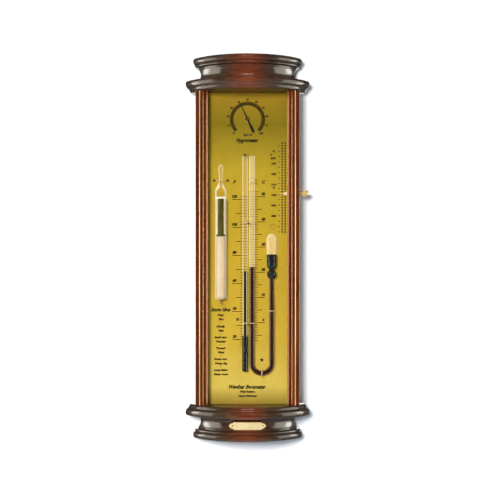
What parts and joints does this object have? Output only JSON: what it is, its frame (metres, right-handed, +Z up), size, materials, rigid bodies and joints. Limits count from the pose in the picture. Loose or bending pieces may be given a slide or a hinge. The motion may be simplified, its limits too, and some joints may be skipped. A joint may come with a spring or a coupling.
{
  "type": "wall barometer",
  "caption": "Bow-fronted wooden wall barometer with hygrometer dial, storm glass, spirit thermometer, U-tube barometer, side pointer knob and keyhole hanger.",
  "frame": {"origin": "middle of the case's flat back, on the wall", "axes": "+Z up, -Y out of the wall to the front, +X to the right seen from the front"},
  "size_m": [0.1562, 0.0561, 0.48],
  "materials": {
    "mahogany_dark": "gloss",
    "mahogany_red": "gloss",
    "plywood": "matte",
    "gilt_plate": "satin",
    "brass": "polished",
    "steel": "satin",
    "black_paint": "satin",
    "clear_glass": "gloss",
    "blue_spirit": "gloss",
    "red_fluid": "gloss",
    "storm_fluid": "gloss",
    "crystal": "matte",
    "cork": "matte",
    "felt": "matte"
  },
  "bodies": {
    "case": {"cornice_cap": "mahogany_dark", "cornice_cove": "mahogany_dark", "cornice_bed": "mahogany_dark", "plinth_bed": "mahogany_dark", "plinth_cove": "mahogany_dark", "plinth_foot": "mahogany_dark", "left_side": "mahogany_red", "right_side": "mahogany_red", "left_pillar": "mahogany_red", "right_pillar": "mahogany_red", "back_board": "plywood", "dial_plate": "gilt_plate", "hanger_plate": "brass", "hanger_screw_left": "brass", "hanger_screw_right": "brass", "hygrometer_cup": "brass", "hygrometer_bush": "brass", "tube_clip_upper": "brass", "tube_clip_lower": "brass", "tube_pin_upper": "brass", "tube_pin_lower": "brass", "barometer_clip_under": "brass", "barometer_clip_over": "brass", "arm_clip": "brass", "bend_clip": "brass", "storm_clip": "brass", "storm_peg": "brass", "name_plate": "brass", "name_pin_left": "brass", "name_pin_right": "brass", "back_screw_1": "steel", "back_screw_2": "steel", "back_screw_3": "steel", "back_screw_4": "steel", "back_screw_5": "steel", "back_screw_6": "steel", "hygrometer_coil": "steel", "storm_screw_left": "steel", "storm_screw_right": "steel", "thermometer_cap": "black_paint", "front_glass": "clear_glass", "thermometer_glass": "clear_glass", "barometer_tube": "clear_glass", "storm_glass": "clear_glass", "thermometer_spirit": "blue_spirit", "barometer_fluid": "red_fluid", "storm_liquid": "storm_fluid", "storm_crystals": "crystal", "tube_rest_upper": "cork", "tube_rest_lower": "cork", "bend_rest": "cork"},
    "hygrometer_hand": {"hygrometer_spindle": "steel", "hygrometer_needle": "black_paint", "hygrometer_cap": "brass"},
    "set_pointer": {"pointer_hand": "brass", "pointer_block": "brass", "pointer_stem": "brass", "pointer_washer": "felt", "pointer_knob": "brass"}
  },
  "joints": [
    {"name": "hygrometer_turn", "type": "hinge", "parent": "case", "child": "hygrometer_hand", "pos_m": [0, -0.0115, 0.1626], "axis": [0, 1, 0], "range_deg": [-110.1, 159.9]},
    {"name": "pointer_slide", "type": "slide", "parent": "case", "child": "set_pointer", "axis": [0, 0, 1], "range_m": [-0.049, 0.062]}
  ]
}
